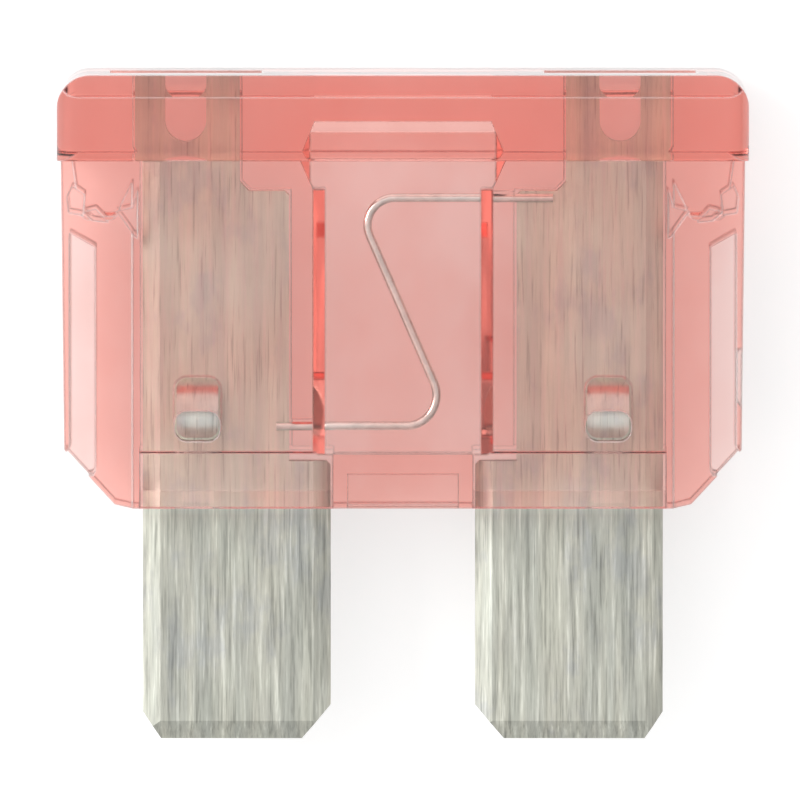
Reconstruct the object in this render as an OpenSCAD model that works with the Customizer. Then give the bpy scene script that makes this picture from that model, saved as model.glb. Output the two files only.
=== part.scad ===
// Automotive blade fuse of the regular size, lying on its back.
// X runs across the blades, Y along them towards the head, Z is the thickness.
// Inside the modules Y is measured from the housing's underside and Z from the
// middle plane of the blades; the placing at the end moves all pieces together.

/* [Housing] */

// Width of the head across both blades
head_width = 19.1; // [17:0.1:22]
// Thickness of the head from back to front
head_depth = 5.1; // [4.6:0.1:6.5]
// Height of the whole housing from its underside to its top
housing_height = 12.0; // [10.5:0.1:14]
// Height of the thick head bar
head_height = 2.35; // [1.9:0.05:3]
// Rounding of the two upper corners seen from the front
head_corner = 0.9; // [0.6:0.05:1.4]
// Slope along the upper edges at the front and the back of the head
top_slope = 0.58; // [0.2:0.02:0.7]
// Rounding of the upright edges at both ends of the head
end_round = 0.6; // [0.2:0.05:0.8]
// Rounding of the head's lower lip
lip_round = 0.25; // [0.15:0.05:0.5]
// Thickness of the body blocks under the head
body_depth = 3.4; // [3.2:0.1:4.2]
// Thickness of the side ears
ear_depth = 3.2; // [2.4:0.1:3.2]
// Distance by which the body is narrower than the head on each side
body_inset = 0.1; // [0:0.05:0.4]
// Draft of the body's sides over its height
body_draft = 0.09; // [0:0.01:0.3]
// Height of the cut lower corners
corner_high = 1.62; // [1.2:0.05:2.2]
// Thickness of the thin web in the pockets of the ears
ear_web = 1.4; // [0.6:0.1:2]

/* [Hollow] */

// Width of the cavity in which the fuse link hangs
cavity_width = 5.0; // [4.6:0.1:5.4]
// Thickness of that cavity, from its front wall to its back wall
cavity_depth = 1.0; // [0.8:0.05:1.4]
// Height of the cavity above the head's lower edge
cavity_rise = 1.05; // [0.6:0.05:1.3]
// Height of the opening in the middle of the underside
door_height = 0.9; // [0.6:0.05:1.1]
// Width of that opening
door_width = 3.1; // [2.4:0.1:3.4]
// Thickness of that opening
door_depth = 0.5; // [0.3:0.05:0.8]
// Height of the widened mouth round each blade
mouth_high = 1.64; // [1.4:0.02:1.8]

/* [Blades] */

// Thickness of the blade sheet
blade_thick = 0.65; // [0.5:0.01:0.8]
// Width of one blade
blade_width = 5.2; // [4.8:0.1:5.6]
// Distance between the two blades
blade_gap = 4.0; // [3.8:0.1:4.8]
// Length of blade below the housing
blade_reach = 6.5; // [5:0.1:8]
// Free room between a blade and its slot
blade_room = 0.08; // [0.04:0.01:0.15]
// Width of the slopes coined along the blade's long edges
blade_slope = 0.48; // [0.2:0.02:0.6]
// Length of the slope at the blade's tip
tip_slope = 0.5; // [0.3:0.05:1]
// Width of the notch in the upper fork
notch_width = 1.15; // [0.8:0.01:1.3]
// Width of the outer prong of the fork
prong_outer = 0.62; // [0.5:0.02:0.9]
// Width of the inner prong of the fork
prong_inner = 0.92; // [0.7:0.02:1.1]
// Distance by which the fork stands out beside the blade's outer edge
fork_barb = 0.2; // [0.1:0.02:0.3]

/* [Latches] */

// Distance from the blade's outer edge to the middle of its latch
latch_inset = 1.52; // [1.3:0.02:1.8]
// Height of the tongue's lower end over the underside
latch_low = 1.9; // [1.8:0.05:2.2]
// Height of the opening in the front wall over the tongue's lower end
latch_open = 0.75; // [0.5:0.05:1]
// Length of the tongue pressed out of the blade
lug_length = 1.65; // [1.3:0.05:1.9]
// Width of the tongue
lug_width = 1.16; // [0.8:0.02:1.3]
// Distance by which the tongue stands out of the blade
lug_rise = 0.6; // [0.3:0.02:0.7]

/* [Fuse link] */

// Diameter of the round fuse wire
wire_dia = 0.25; // [0.18:0.01:0.35]
// Radius of the wire's lower bend, to its middle line
wire_bend_low = 0.85; // [0.5:0.05:1]
// Radius of the wire's upper bend, to its middle line
wire_bend_high = 0.75; // [0.5:0.05:1]
// Free room round the wire where it passes the housing
wire_room = 0.1; // [0.06:0.01:0.15]

/* [Hidden] */
$fn = 48;
e = 0.01;
// Length by which a cut runs past the surface that it opens
past = 1;

// Depth to which the link is sunk in the blades' faces at its welds
weld_depth = 0.05;

body_half = body_depth / 2;
ear_half = ear_depth / 2;
head_half = head_depth / 2;
head_low = housing_height - head_height;
body_top = head_low + lip_round;

blade_in = blade_gap / 2;
blade_out = blade_in + blade_width;
blade_half = blade_thick / 2;
neck_inset = 1.15;
blade_neck = blade_in + neck_inset;
fork_out = blade_out + fork_barb;
barb_low = head_low - 0.1;
barb_high = head_low + 0.35;
slope_drop = 0.14;
tip_drop = 0.2;
tip_in = [0.8, 0.95];
tip_out = [0.5, 0.75];
notch_mid = blade_out - prong_outer - notch_width / 2;
fork_in = notch_mid - notch_width / 2 - prong_inner;
fork_top = housing_height - 0.16;
notch_rise = 1.04;
notch_low = head_low + notch_rise;
prong_cut = 0.12;
shoulder_low = mouth_high - 0.4;
shoulder_high = head_low - 0.92;
shoulder_fill = 0.25;

side_top = head_width / 2 - body_inset;
side_low = side_top - body_draft;
block_half = blade_out + 0.28;
corner_wide = side_low - block_half;
// Kink in the ears' lower edge
corner_kink = [side_low - 0.74 * corner_wide, 0.07 * corner_high];

// Raised shield on the ear
boss_low = shoulder_high - 0.75;
boss_out = side_top - 0.28;
foot_round = 0.35;
// Distance of the shield's narrower foot from its inner and its outer side
foot_inset = [0.35, 0.22];
// Corners of the pockets in the ears: the long one beside the cut corner, measured
// from the ear's lower end, and three short ones round the shield, from its foot
pocket_inset = 0.64;
long_pocket = [
    [-0.86, 5.6], [-0.15, 6.0], [-0.15, 0.05], [0.1, -0.25], [-0.3, -0.72], [-0.78, -0.72], [-0.86, -0.6]
];
outer_pocket = [[0.26, 0.7], [0.6, 0.93], [0.74, 0.65], [0.7, 0.2], [0.3, 0.13]];
inner_pocket = [[-1.2, 0.84], [-1.08, 0.34], [-0.62, 0.24], [-0.78, 0.04], [-1.1, -0.42], [-1.2, -0.5]];
foot_pocket = [[-0.05, 0.3], [0.28, 0.22], [0.02, -0.02], [-0.4, -0.06]];

// Moulding gate's scar
scar_rise = 1.1;
scar_length = 1.8;
scar_low = corner_high + scar_rise;
scar_high = scar_low + scar_length;
scar_deep = 0.14;
scar_slope = 0.22;

cavity_half = cavity_width / 2;
cavity_low = mouth_high - 0.18;
cavity_top = head_low + cavity_rise;
// Width of the slopes along the cavity's long edges, which start where the link's slits end
cavity_slope = 0.35;
cavity_mid = blade_half + wire_dia - weld_depth + wire_room + cavity_slope - cavity_depth / 2;
// Wider upper end of the cavity, from where it starts to open up to its sloped top
cavity_side = blade_neck - blade_room;
crown_drop = 0.85;
crown_inset = 0.2;
crown_taper = 0.42;
crown_slope = 0.3;
crown_low = head_low - crown_drop;
crown_half = cavity_side - crown_inset;
crown_top_half = crown_half - crown_taper;

mouth_room = 0.42;
mouth_side = blade_out + 0.1;
mouth_flare = 0.32;
mouth_lead = 0.45;
mouth_slope = 0.15;
window_half = 2.1;
window_depth = 1.2;

latch_mid = blade_out - latch_inset;
// The tongue's top lies at a third of its length and its arc ends in the sheet
lug_mid = latch_low + lug_length / 3;
lug_reach = lug_length * 2 / 3;
lug_radius = (pow(lug_reach, 2) + pow(lug_rise, 2)) / (2 * lug_rise);
lug_corner = 0.3;
// Hollow behind the tongue: its start over the tongue's low end, depth and run-out
lug_back = [0.08, 0.25, 0.6];

wire_r = wire_dia / 2;
wire_z = blade_half + wire_r - weld_depth;
slit_low = wire_z - wire_r - wire_room;
slit_high = wire_z + wire_r + wire_room;
wire_low_y = latch_low + 0.32;
wire_high_y = shoulder_high - 0.19;
// Lengths of link that lie on the left and the right blade
weld_left = 0.35;
weld_right = 1.0;
wire_left = -(blade_neck + weld_left);
wire_right = blade_neck + weld_right;
// The two corners of the link's middle line before rounding
turn_half = 0.55 * cavity_half;
turn_low = [turn_half, wire_low_y];
turn_high = [-turn_half, wire_high_y];
// How much thinner the straight lengths are than the bends, and how far they reach into them
rod_thinner = 0.002;
rod_lap = 0.02;

// Plate with given outline between two heights
module plate(points, z0, z1) {
    translate([0, 0, z0]) linear_extrude(height = z1 - z0) polygon(points);
}

// Bar along X whose section is given as points of Y and Z
module bar_x(points, x0, x1) {
    translate([x0, 0, 0]) rotate([90, 0, 90]) linear_extrude(height = x1 - x0) polygon(points);
}

// Bar along Y whose section is given as points of X and Z
module bar_y(points, y0, y1) {
    translate([0, y1, 0]) rotate([90, 0, 0]) linear_extrude(height = y1 - y0) polygon(points);
}

// The same shape on the front and on the back
module both_faces() {
    children();
    mirror([0, 0, 1]) children();
}

// The same shape on the right and on the left
module both_sides() {
    children();
    mirror([1, 0, 0]) children();
}

// Section of the head bar with a soft lower lip and sloped upper edges
module head_section() {
    lip_half = head_half - lip_round;
    slope_low = housing_height - top_slope;
    translate([head_low, -lip_half]) square([head_height - top_slope, 2 * lip_half]);
    polygon([
        [body_top, -head_half], [slope_low, -head_half], [housing_height, top_slope - head_half],
        [housing_height, head_half - top_slope], [slope_low, head_half], [body_top, head_half]
    ]);
    for (s = [-1, 1]) translate([body_top, s * lip_half]) circle(lip_round);
}

// Section of the head across its length with rounded edges at both ends
module end_section() {
    square([head_width - 2 * end_round, head_depth], center = true);
    square([head_width, head_depth - 2 * end_round], center = true);
    for (x = [-1, 1], z = [-1, 1])
        translate([x * (head_width / 2 - end_round), z * (head_half - end_round)]) circle(end_round);
}

// Outline of the head with its two rounded upper corners
module head_outline() {
    straight = head_width / 2 - head_corner;
    translate([-head_width / 2, head_low - e]) square([head_width, head_height - head_corner + e]);
    translate([-straight, head_low]) square([2 * straight, head_height]);
    for (s = [-1, 1]) translate([s * straight, housing_height - head_corner]) circle(head_corner);
}

module head() {
    intersection() {
        translate([-head_width, 0, 0]) rotate([90, 0, 90])
            linear_extrude(height = 2 * head_width) head_section();
        translate([0, 0, -head_depth]) linear_extrude(height = 2 * head_depth) head_outline();
        translate([0, housing_height + past, 0]) rotate([90, 0, 0])
            linear_extrude(height = head_height + 2 * past) end_section();
    }
}

// Blocks round the blades and the thinner ears beside them
module body() {
    plate([
        [-block_half, 0], [block_half, 0], [block_half, body_top], [-block_half, body_top]
    ], -body_half, body_half);
    both_sides() {
        plate([
            [block_half - e, 0], [block_half, 0], corner_kink, [side_low, corner_high],
            [side_top, body_top], [block_half - e, body_top]
        ], -ear_half, ear_half);
        both_faces() ear_boss();
    }
}

// Raised shield under the head on each ear, sloped and rounded at its lower end
module ear_boss() {
    slope = body_half - ear_half;
    boss_in = block_half - e;
    foot_in = boss_in + foot_inset[0];
    foot_out = boss_out - foot_inset[1];
    intersection() {
        union() {
            plate([
                [boss_in, body_top], [boss_out, body_top], [foot_out, boss_low + foot_round],
                [foot_out - foot_round, boss_low], [foot_in + foot_round, boss_low],
                [foot_in, boss_low + foot_round], [boss_in, boss_low + 3 * foot_round]
            ], 0, body_half);
            for (x = [foot_out - foot_round, foot_in + foot_round])
                translate([x, boss_low + foot_round, 0]) cylinder(r = foot_round, h = body_half);
        }
        bar_x([
            [boss_low - slope, 0], [body_top + e, 0], [body_top + e, body_half],
            [boss_low + slope, body_half], [boss_low - slope / 2, ear_half - slope / 2]
        ], 0, head_width);
    }
}

// Middle cavity with sloped long edges
module cavity() {
    half = cavity_depth / 2;
    side = cavity_half - cavity_slope;
    flat = half - cavity_slope;
    translate([0, 0, cavity_mid]) bar_y([
        [-side, -half], [side, -half], [cavity_half, -flat], [cavity_half, flat],
        [side, half], [-side, half], [-cavity_half, flat], [-cavity_half, -flat]
    ], cavity_low, head_low);
}

// Wider upper end of the cavity, which tapers inside the head and has sloped edges
module crown() {
    half = cavity_depth / 2;
    narrow = half - crown_slope;
    translate([0, 0, cavity_mid]) intersection() {
        plate([
            [-cavity_half + e, crown_low], [cavity_half - e, crown_low], [crown_half, head_low],
            [crown_top_half, cavity_top], [-crown_top_half, cavity_top], [-crown_half, head_low]
        ], -half, half);
        bar_x([
            [crown_low - past, -half], [cavity_top - crown_slope, -half], [cavity_top, -narrow],
            [cavity_top, narrow], [cavity_top - crown_slope, half], [crown_low - past, half]
        ], -cavity_side, cavity_side);
        bar_y([
            [-crown_half, -narrow], [crown_slope - crown_half, -half], [crown_half - crown_slope, -half],
            [crown_half, -narrow], [crown_half, narrow], [crown_half - crown_slope, half],
            [crown_slope - crown_half, half], [-crown_half, narrow]
        ], crown_low - past, cavity_top + past);
    }
}

// Slot that follows one terminal's outline, deeper under the head to pass the link
module blade_slot() {
    side = blade_out + blade_room;
    barb_side = fork_out + blade_room;
    top = fork_top + blade_room;
    shoulder = shoulder_high + blade_room;
    fork_side = fork_in - blade_room;
    plate([
        [cavity_side, -past], [side, -past], [side, barb_low], [barb_side, barb_high],
        [barb_side, top], [fork_side, top], [fork_side, shoulder + shoulder_fill],
        [fork_side - shoulder_fill, shoulder], [cavity_side, shoulder]
    ], -blade_half, blade_half + blade_room);
    plate([
        [cavity_side, -past], [side, -past], [side, head_low], [fork_side, head_low],
        [fork_side, shoulder + shoulder_fill], [fork_side - shoulder_fill, shoulder], [cavity_side, shoulder]
    ], 0, slit_high);
}

// Wider mouth round one blade at the underside, flared at its rim and sloped inside
module blade_mouth() {
    half = blade_half + mouth_room;
    flare = half + mouth_flare;
    slope_low = mouth_high - mouth_slope;
    bar_x([
        [-e, -flare], [mouth_lead, -half], [slope_low, -half], [mouth_high, -blade_half],
        [mouth_high, blade_half], [slope_low, half], [mouth_lead, half], [-e, flare]
    ], blade_in - blade_room, mouth_side);
}

// Slit in one wall of the cavity, up from the blade's mouth to where the link passes
module link_slit(high) {
    low = mouth_high - mouth_slope - e;
    start = cavity_half - cavity_slope;
    translate([start, low, slit_low])
        cube([cavity_side + e - start, high + wire_r + wire_room - low, slit_high - slit_low]);
}

// Hollow for both terminals and the link, open at the underside
module hollow() {
    cavity();
    crown();
    both_sides() {
        blade_slot();
        blade_mouth();
        // Test window in the top over the fork
        translate([notch_mid - window_half, fork_top - prong_cut, -window_depth / 2])
            cube([2 * window_half, housing_height, window_depth]);
    }
    // Opening in the middle of the underside
    translate([-door_width / 2, -past, -door_depth / 2])
        cube([door_width, past + door_height, door_depth]);
    mirror([1, 0, 0]) link_slit(wire_low_y);
    link_slit(wire_high_y);
}

// Tongue's outline with rounded corners, with some room around it
module latch_outline(length, room) {
    side = lug_width / 2 + room;
    r = lug_corner + room;
    translate([latch_mid - side, latch_low - room + r]) square([2 * side, length + 2 * (room - r)]);
    translate([latch_mid - side + r, latch_low - room]) square([2 * (side - r), length + 2 * room]);
    for (x = [r - side, side - r], y = [r - room, length + room - r])
        translate([latch_mid + x, latch_low + y]) circle(r);
}

// Openings in the front wall in which the blades' tongues catch, with room behind them
module latch_cuts() {
    both_sides() {
        linear_extrude(height = body_half + past) latch_outline(latch_open, blade_room / 2);
        linear_extrude(height = blade_half + lug_rise + blade_room) latch_outline(lug_length, blade_room);
    }
}

// Thinned pockets in both faces of each ear
module ear_cuts() {
    both_faces() both_sides() {
        translate([side_low, corner_high, 0]) plate(long_pocket, ear_web / 2, ear_half + past);
        translate([boss_out - pocket_inset, boss_low, 0]) {
            plate(outer_pocket, ear_web, ear_half + past);
            plate(inner_pocket, ear_web, ear_half + past);
            plate(foot_pocket, ear_web, ear_half + past);
        }
    }
}

// Small scar of the moulding gate on the right edge
module gate_scar() {
    deep = side_low - scar_deep;
    open = side_low + past;
    plate([
        [open, scar_low], [side_low, scar_low], [deep, scar_low + scar_slope],
        [deep, scar_high - scar_slope], [side_top, scar_high], [open, scar_high]
    ], -ear_half / 2, ear_half / 2);
}

module housing() {
    color([0.93, 0.5, 0.45, 0.5]) difference() {
        union() {
            head();
            body();
        }
        hollow();
        latch_cuts();
        ear_cuts();
        gate_scar();
    }
}

// Flat outline of one terminal with its tip, shoulders and fork
module terminal_outline() {
    difference() {
        polygon([
            [blade_in, tip_in[1] - blade_reach], [blade_in + tip_in[0], -blade_reach],
            [blade_out - tip_out[0], -blade_reach], [blade_out, tip_out[1] - blade_reach],
            [blade_out, barb_low], [fork_out, barb_high],
            [fork_out, fork_top - prong_cut], [fork_out - prong_cut, fork_top],
            [fork_in + prong_cut, fork_top], [fork_in, fork_top - prong_cut],
            [fork_in, shoulder_high + shoulder_fill], [fork_in - shoulder_fill, shoulder_high],
            [blade_neck + prong_cut, shoulder_high], [blade_neck, shoulder_high - prong_cut],
            [blade_neck, shoulder_low], [blade_in + prong_cut, shoulder_low],
            [blade_in, shoulder_low - prong_cut]
        ]);
        translate([notch_mid - notch_width / 2, notch_low]) square([notch_width, housing_height]);
        translate([notch_mid, notch_low]) circle(d = notch_width);
    }
}

// Coined slopes along the long edges and across the tip
module terminal_slopes() {
    past_drop = slope_drop * (1 + past / blade_slope);
    tip_past = tip_drop * (1 + past / tip_slope);
    both_faces() {
        bar_y([
            [blade_out - blade_slope, blade_half], [blade_out + past, blade_half - past_drop],
            [blade_out + past, past]
        ], -blade_reach - past, barb_low - e);
        bar_y([
            [blade_in + blade_slope, blade_half], [blade_in - past, blade_half - past_drop],
            [blade_in - past, past]
        ], -blade_reach - past, shoulder_low + past);
        bar_x([
            [tip_slope - blade_reach, blade_half], [-blade_reach - past, blade_half - tip_past],
            [-blade_reach - past, past]
        ], 0, blade_out + past);
    }
}

// Curved tongue pressed out of the sheet that holds the terminal in the housing
module lug() {
    intersection() {
        translate([0, lug_mid, blade_half + lug_rise - lug_radius]) rotate([0, 90, 0])
            cylinder(r = lug_radius, h = blade_out, $fn = 96);
        linear_extrude(height = past) latch_outline(lug_length, 0);
    }
}

// Hollow that the pressed tongue leaves in the back of the sheet
module lug_hollow() {
    low = latch_low + lug_back[0];
    deep = lug_back[1] - blade_half;
    end = lug_mid + lug_back[2];
    side = lug_width / 2 - blade_room;
    bar_x([
        [low, -blade_half - past], [low, deep], [lug_mid, deep],
        [end, -blade_half], [end, -blade_half - past]
    ], latch_mid - side, latch_mid + side);
}

// Terminal on the right; the left one is its mirror image
module terminal() {
    difference() {
        union() {
            difference() {
                translate([0, 0, -blade_half]) linear_extrude(height = blade_thick) terminal_outline();
                terminal_slopes();
            }
            lug();
        }
        lug_hollow();
    }
}

module terminal_left() {
    color([0.74, 0.74, 0.7]) difference() {
        mirror([1, 0, 0]) terminal();
        wire_rod([wire_left, wire_low_y], [0, wire_low_y]);
    }
}

module terminal_right() {
    color([0.74, 0.74, 0.7]) difference() {
        terminal();
        wire_rod([0, wire_high_y], [wire_right, wire_high_y]);
    }
}

// Straight length of wire between two points of its plane, whose ends sit inside the bends
module wire_rod(a, b, over_a = 0, over_b = 0) {
    run = b - a;
    translate([a[0], a[1], wire_z]) rotate([0, 0, atan2(run[1], run[0])]) rotate([0, 90, 0])
        translate([0, 0, -over_a]) cylinder(r = wire_r - rod_thinner, h = norm(run) + over_a + over_b);
}

// Bend of wire round a centre, from one angle over a sweep
module wire_bend(centre, radius, from, sweep) {
    translate([centre[0], centre[1], wire_z]) rotate([0, 0, from])
        rotate_extrude(angle = sweep) translate([radius, 0]) circle(wire_r);
}

module fuse_wire() {
    lean = atan2(turn_high[1] - turn_low[1], turn_high[0] - turn_low[0]);
    along = [cos(lean), sin(lean)];
    reach_low = wire_bend_low / tan((180 - lean) / 2);
    reach_high = wire_bend_high / tan((180 - lean) / 2);
    color([0.85, 0.85, 0.83]) {
        wire_rod([wire_left, wire_low_y], turn_low - [reach_low, 0], 0, rod_lap);
        wire_bend([turn_low[0] - reach_low, wire_low_y + wire_bend_low], wire_bend_low, -90, lean);
        wire_rod(turn_low + reach_low * along, turn_high - reach_high * along, rod_lap, rod_lap);
        wire_bend([turn_high[0] + reach_high, wire_high_y - wire_bend_high], wire_bend_high, 90, lean);
        wire_rod(turn_high + [reach_high, 0], [wire_right, wire_high_y], rod_lap, 0);
    }
}

// Lays the fuse with its head's back on the ground and its middle over the origin
module placed() {
    translate([0, (blade_reach - housing_height) / 2, head_half]) children();
}

placed() housing();
placed() terminal_left();
placed() terminal_right();
placed() fuse_wire();
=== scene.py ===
import math

import bpy
from mathutils import Matrix, Vector


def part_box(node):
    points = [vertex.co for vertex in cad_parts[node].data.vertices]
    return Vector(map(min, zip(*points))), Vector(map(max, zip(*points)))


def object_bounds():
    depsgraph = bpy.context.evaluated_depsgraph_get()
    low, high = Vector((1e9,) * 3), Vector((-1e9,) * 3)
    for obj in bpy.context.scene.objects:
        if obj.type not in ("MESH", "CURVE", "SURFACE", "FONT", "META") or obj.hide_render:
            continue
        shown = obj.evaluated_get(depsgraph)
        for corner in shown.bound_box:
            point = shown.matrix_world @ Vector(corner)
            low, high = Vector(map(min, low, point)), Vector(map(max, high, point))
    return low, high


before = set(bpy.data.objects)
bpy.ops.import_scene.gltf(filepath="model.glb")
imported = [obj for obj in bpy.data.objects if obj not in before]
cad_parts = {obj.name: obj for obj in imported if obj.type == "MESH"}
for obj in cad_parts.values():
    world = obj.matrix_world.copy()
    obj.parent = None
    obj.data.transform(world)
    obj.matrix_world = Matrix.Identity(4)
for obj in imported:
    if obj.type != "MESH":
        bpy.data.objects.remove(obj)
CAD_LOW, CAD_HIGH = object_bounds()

MM = 0.001

# View of the photograph, which looks down on the lying fuse from a little beyond its head
VIEW_TILT = math.radians(4.0)
VIEW_DISTANCE = 0.6
FRAME_WIDTH = 22.16 * MM
FILM_WIDTH = 36.0
AIM = Vector((-0.08 * MM, 0.14 * MM, 2.55 * MM))

# Underside of the housing, from which the blades stand out
MOUTH_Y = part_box("housing")[0].y
# Height from which the blades' tongues stand clear of their sheet
TONGUE_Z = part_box("terminal_left")[1].z - 0.5 * MM
# Lengths over which the blades' painted light changes at the underside and up the tongues: inside the
# housing the blades are painted lighter and greenish, standing in for the dim pink light there, and
# the raised tongues are painted lighter
MOUTH_BLEND = 0.3 * MM
TONGUE_BLEND = 0.15 * MM

# Clear pink plastic: what it takes from light on each metre of its way
PLASTIC_IOR = 1.56
PLASTIC_DENSITY = 292.0
PLASTIC_TINT = (0.98, 0.30, 0.18)
# Radius to which the shading rounds the plastic's sharp edges, how clear they stay, and
# the cosines of the bend at which the frost is full and gone
PLASTIC_EDGE = 0.08 * MM
EDGE_CLEAR = 0.45
EDGE_BENT = 0.85
EDGE_FLAT = 0.995
# Height of the waves in each surface, with the share of it that shows
PLASTIC_WAVES = 0.06 * MM
BLADE_WAVES = 0.012 * MM
WIRE_WAVES = 0.01 * MM
WAVE_SHARE = 0.3
STREAK_SHARE = 0.35

# Half the floor's side, its distance below the fuse and the brightness of its own glow,
# which helps to make the background white
FLOOR_HALF = 1.2
FLOOR_DROP = 0.02 * MM
FLOOR_GLOW = 0.59

# Lamp on the left, which makes the highlights on the wire's bends
KEY_PLACE = (-0.36, 0.14, 0.26)
KEY_SIZE = (0.22, 0.22)
KEY_POWER = 0.9

# Brightness of the sky by height, from the horizon (0) to straight above (1), the strength
# that multiplies it, and how much it rises towards +X and towards the head, as a share of it
SKY_HEIGHTS = ((0.0, 0.26), (0.3, 0.44), (0.5, 0.44), (0.7, 0.43), (0.88, 0.41), (1.0, 0.405))
SKY_STRENGTH = 2.25
SKY_LEAN = (-0.42, 0.4)


class Nodes:
    """A node tree with short calls for the nodes used here."""

    def __init__(self, tree):
        self.tree = tree

    def add(self, kind, **values):
        """A new node of a kind, with these of its properties set."""
        node = self.tree.nodes.new(kind)
        for name, value in values.items():
            setattr(node, name, value)
        return node

    def link(self, source, target):
        self.tree.links.new(source, target)

    def place(self, scale):
        """Object coordinates stretched by a scale for each axis, per metre."""
        where = self.add("ShaderNodeTexCoord")
        mapping = self.add("ShaderNodeMapping")
        mapping.inputs["Scale"].default_value = scale
        self.link(where.outputs["Object"], mapping.inputs["Vector"])
        return mapping.outputs["Vector"]

    def noise(self, scale, detail=3.0, roughness=0.55):
        """Noise with a scale for each axis, per metre."""
        texture = self.add("ShaderNodeTexNoise")
        texture.inputs["Scale"].default_value = 1.0
        texture.inputs["Detail"].default_value = detail
        texture.inputs["Roughness"].default_value = roughness
        self.link(self.place(scale), texture.inputs["Vector"])
        return texture.outputs["Fac"]

    def ramp(self, source, stops):
        """Colour or value read from stops of (place, value) along the source."""
        node = self.add("ShaderNodeValToRGB")
        elements = node.color_ramp.elements
        while len(elements) < len(stops):
            elements.new(0.5)
        for element, (place, value) in zip(elements, stops):
            element.position = place
            colour = value if isinstance(value, tuple) else (value, value, value)
            element.color = (*colour, 1.0)
        self.link(source, node.inputs["Fac"])
        return node.outputs["Color"]

    def spread(self, source, low, high, start=0.3, end=0.7):
        """The source's range from start to end mapped on low to high."""
        node = self.add("ShaderNodeMapRange")
        node.inputs["From Min"].default_value = start
        node.inputs["From Max"].default_value = end
        node.inputs["To Min"].default_value = low
        node.inputs["To Max"].default_value = high
        self.link(source, node.inputs["Value"])
        return node.outputs["Result"]

    def mix(self, factor, one, two, blend="MIX"):
        """One colour blended with another by a factor, each a socket or, the factor, a number."""
        node = self.add("ShaderNodeMix")
        node.data_type = "RGBA"
        node.blend_type = blend
        for value, socket in ((factor, 0), (one, 6), (two, 7)):
            if isinstance(value, bpy.types.NodeSocket):
                self.link(value, node.inputs[socket])
            else:
                node.inputs[socket].default_value = value
        return node.outputs[2]

    def sum(self, source, factor, offset):
        """The source times a factor plus an offset."""
        node = self.add("ShaderNodeMath", operation="MULTIPLY_ADD")
        self.link(source, node.inputs[0])
        node.inputs[1].default_value = factor
        node.inputs[2].default_value = offset
        return node.outputs["Value"]


class Surface(Nodes):
    """The node tree of a new material with its Principled shader."""

    def __init__(self, name):
        self.material = bpy.data.materials.new(name)
        self.material.use_nodes = True
        super().__init__(self.material.node_tree)
        self.shader = self.tree.nodes["Principled BSDF"]
        self.output = self.tree.nodes["Material Output"]

    def bump(self, height, strength, distance, normal=None):
        """Waves the surface by a height, over the normal given or its own."""
        node = self.add("ShaderNodeBump")
        node.inputs["Strength"].default_value = strength
        node.inputs["Distance"].default_value = distance
        self.link(height, node.inputs["Height"])
        if normal:
            self.link(normal, node.inputs["Normal"])
        self.link(node.outputs["Normal"], self.shader.inputs["Normal"])


def plastic():
    """Clear pink moulded plastic, deeper in colour where it is thicker, with frosted edges."""
    made = Surface("clear_pink_plastic")
    shader = made.shader.inputs
    shader["IOR"].default_value = PLASTIC_IOR
    haze = made.noise((420, 300, 420), detail=4.0)
    mottle = made.noise((360, 240, 360), detail=3.0)
    tint = made.ramp(mottle, ((0.38, (0.97, 0.895, 0.88)), (0.6, (1.0, 1.0, 1.0))))
    made.link(tint, shader["Base Color"])
    made.link(made.spread(haze, 0.02, 0.09), shader["Roughness"])
    rounded = made.add("ShaderNodeBevel", samples=4)
    rounded.inputs["Radius"].default_value = PLASTIC_EDGE
    flat = made.add("ShaderNodeNewGeometry")
    bend = made.add("ShaderNodeVectorMath", operation="DOT_PRODUCT")
    made.link(rounded.outputs["Normal"], bend.inputs[0])
    made.link(flat.outputs["Normal"], bend.inputs[1])
    clear = made.spread(bend.outputs["Value"], EDGE_CLEAR, 1.0, EDGE_BENT, EDGE_FLAT)
    made.link(clear, shader["Transmission Weight"])
    flow = made.noise((420, 160, 420), detail=2.0)
    made.bump(flow, WAVE_SHARE, PLASTIC_WAVES, rounded.outputs["Normal"])
    depth = made.add("ShaderNodeVolumeAbsorption")
    depth.inputs["Color"].default_value = (*PLASTIC_TINT, 1.0)
    depth.inputs["Density"].default_value = PLASTIC_DENSITY
    made.link(depth.outputs["Volume"], made.output.inputs["Volume"])
    return made.material


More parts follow.
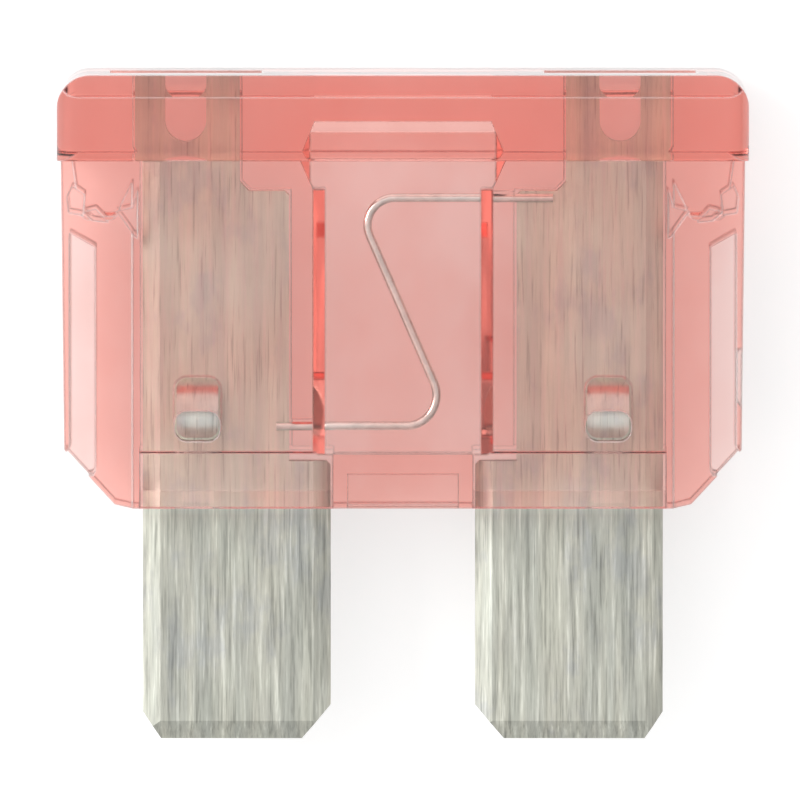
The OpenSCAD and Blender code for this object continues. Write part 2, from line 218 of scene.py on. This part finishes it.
def blade_metal():
    """Dull tin-plated sheet with fine streaks along the blades, with painted light: lighter and
    greenish inside the housing, lighter and neutral on the raised tongues.
    """
    made = Surface("streaked_tin")
    shader = made.shader.inputs
    shader["Metallic"].default_value = 1.0
    streaks = made.noise((7500, 330, 3000), detail=4.0, roughness=0.7)
    scratches = made.noise((12000, 420, 3500), detail=3.0, roughness=0.6)
    bands = made.noise((2100, 120, 1500), detail=2.0)
    stains = made.noise((900, 500, 900), detail=5.0, roughness=0.6)
    base = made.ramp(streaks, (
        (0.34, (0.42, 0.42, 0.39)),
        (0.46, (0.60, 0.60, 0.555)),
        (0.56, (0.68, 0.68, 0.63)),
        (0.68, (0.92, 0.92, 0.87)),
    ))
    # Painted light: inside the housing the tin gets a lighter, greenish copy of its tone, standing in
    # for the dimmer pink light that reaches it through the plastic
    housed_painted_light = made.ramp(streaks, (
        (0.34, (0.80, 0.91, 0.84)),
        (0.5, (0.88, 0.98, 0.92)),
        (0.66, (0.95, 1.0, 0.97)),
    ))
    place = made.add("ShaderNodeSeparateXYZ")
    made.link(made.place((1, 1, 1)), place.inputs["Vector"])
    housing_painted_light_mask = made.spread(place.outputs["Y"], 0.0, 1.0, MOUTH_Y - MOUTH_BLEND, MOUTH_Y + MOUTH_BLEND)
    base = made.mix(housing_painted_light_mask, base, housed_painted_light)
    # Painted light: the raised tongues get a lighter, neutral copy of the tin's tone, so that they
    # look brightly lit and untinted behind the plastic
    tongue_painted_light = made.ramp(streaks, ((0.36, (0.82, 0.82, 0.80)), (0.6, (0.97, 0.97, 0.95))))
    tongue_painted_light_mask = made.spread(place.outputs["Z"], 0.0, 1.0, TONGUE_Z, TONGUE_Z + TONGUE_BLEND)
    base = made.mix(tongue_painted_light_mask, base, tongue_painted_light)
    scored = made.ramp(scratches, (
        (0.34, (0.74, 0.74, 0.74)),
        (0.42, (0.96, 0.96, 0.95)),
        (0.5, (1.0, 1.0, 1.0)),
    ))
    base = made.mix(1.0, base, scored, "MULTIPLY")
    wide = made.ramp(bands, ((0.35, (0.82, 0.84, 0.84)), (0.65, (1.0, 1.0, 0.97))))
    tone = made.mix(1.0, base, wide, "MULTIPLY")
    spots = made.ramp(stains, (
        (0.36, (0.87, 0.87, 0.89)),
        (0.46, (0.97, 0.96, 0.93)),
        (0.6, (1.0, 1.0, 0.96)),
    ))
    made.link(made.mix(1.0, tone, spots, "MULTIPLY"), shader["Base Color"])
    made.link(made.spread(streaks, 0.34, 0.52), shader["Roughness"])
    made.bump(streaks, STREAK_SHARE, BLADE_WAVES)
    return made.material


def wire_metal():
    """Bright tinned round wire with a slightly uneven coat, its tone painted greenish to cancel the
    pink of the light that reaches it through the plastic.
    """
    made = Surface("bright_tinned_wire")
    shader = made.shader.inputs
    shader["Metallic"].default_value = 1.0
    coat = made.noise((2500, 2500, 2500), detail=3.0)
    # Painted light: the greenish tint stands in for light, cancelling the pink that the plastic gives
    # to the light reaching the wire; the noise is the coat's real unevenness
    tone = made.ramp(coat, ((0.35, (0.68, 0.78, 0.76)), (0.65, (0.86, 0.96, 0.94))))
    made.link(tone, shader["Base Color"])
    made.link(made.spread(coat, 0.16, 0.26), shader["Roughness"])
    made.bump(coat, WAVE_SHARE, WIRE_WAVES)
    return made.material


def floor_surface():
    """White paper that keeps shadows and shows white to camera, metal and glass."""
    made = Surface("white_paper")
    shader = made.shader.inputs
    grain = made.noise((300, 300, 300), detail=2.0)
    pale = made.ramp(grain, ((0.3, (0.55, 0.55, 0.55)), (0.7, (0.57, 0.57, 0.57))))
    made.link(pale, shader["Base Color"])
    shader["Roughness"].default_value = 0.9
    shader["Specular IOR Level"].default_value = 0.0
    path = made.add("ShaderNodeLightPath")
    seen = made.add("ShaderNodeMath", operation="MAXIMUM")
    made.link(path.outputs["Is Camera Ray"], seen.inputs[0])
    mirrored = made.add("ShaderNodeMath", operation="MAXIMUM")
    made.link(path.outputs["Is Glossy Ray"], mirrored.inputs[0])
    made.link(path.outputs["Is Transmission Ray"], mirrored.inputs[1])
    made.link(mirrored.outputs["Value"], seen.inputs[1])
    glow = made.add("ShaderNodeMath", operation="MULTIPLY")
    made.link(seen.outputs["Value"], glow.inputs[0])
    glow.inputs[1].default_value = FLOOR_GLOW
    shader["Emission Color"].default_value = (1.0, 1.0, 1.0, 1.0)
    made.link(glow.outputs["Value"], shader["Emission Strength"])
    return made.material


def dress(node, material):
    """Gives a CAD node one material."""
    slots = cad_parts[node].data.materials
    slots.clear()
    slots.append(material)


def add_floor():
    mesh = bpy.data.meshes.new("floor")
    corners = [(x * FLOOR_HALF, y * FLOOR_HALF, 0.0) for x, y in ((-1, -1), (1, -1), (1, 1), (-1, 1))]
    mesh.from_pydata(corners, [], [(0, 1, 2, 3)])
    floor = bpy.data.objects.new("floor", mesh)
    bpy.context.scene.collection.objects.link(floor)
    floor.location.z = CAD_LOW[2] - FLOOR_DROP
    mesh.materials.append(floor_surface())


def aimed(name, data, place, aim):
    """Links an object at a place so that its -Z axis points at the aim, with +Y up in its view."""
    item = bpy.data.objects.new(name, data)
    bpy.context.scene.collection.objects.link(item)
    back = (place - aim).normalized()
    side = Vector((0, 1, 0)).cross(back).normalized()
    turn = Matrix((side, back.cross(side), back)).transposed().to_4x4()
    item.matrix_world = Matrix.Translation(place) @ turn
    return item


def add_camera():
    data = bpy.data.cameras.new("camera")
    data.sensor_width = FILM_WIDTH
    data.lens = data.sensor_width * VIEW_DISTANCE / FRAME_WIDTH
    data.clip_start = 0.01
    data.clip_end = 10.0
    away = Vector((0, math.sin(VIEW_TILT), math.cos(VIEW_TILT)))
    bpy.context.scene.camera = aimed("camera", data, AIM + away * VIEW_DISTANCE, AIM)


def add_light(name, place, size, power):
    data = bpy.data.lights.new(name, "AREA")
    data.shape = "RECTANGLE"
    data.size, data.size_y = size
    data.energy = power
    aimed(name, data, Vector(place), Vector((0, 0, 0)))


def add_sky():
    """Nearly even surroundings, dimmer at the horizon, brighter on the left and beyond the head."""
    world = bpy.data.worlds.new("studio")
    bpy.context.scene.world = world
    world.use_nodes = True
    made = Nodes(world.node_tree)
    background = world.node_tree.nodes["Background"]
    where = made.add("ShaderNodeTexCoord")
    part = made.add("ShaderNodeSeparateXYZ")
    made.link(where.outputs["Generated"], part.inputs["Vector"])
    made.link(made.ramp(part.outputs["Z"], SKY_HEIGHTS), background.inputs["Color"])
    lean = made.add("ShaderNodeVectorMath", operation="DOT_PRODUCT")
    made.link(where.outputs["Generated"], lean.inputs[0])
    lean.inputs[1].default_value = (*SKY_LEAN, 0.0)
    strength = made.sum(lean.outputs["Value"], SKY_STRENGTH, SKY_STRENGTH)
    made.link(strength, background.inputs["Strength"])


dress("housing", plastic())
tin = blade_metal()
dress("terminal_left", tin)
dress("terminal_right", tin)
dress("fuse_wire", wire_metal())
add_floor()
add_camera()
add_light("key", KEY_PLACE, KEY_SIZE, KEY_POWER)
add_sky()
bpy.context.scene.view_settings.view_transform = "Standard"
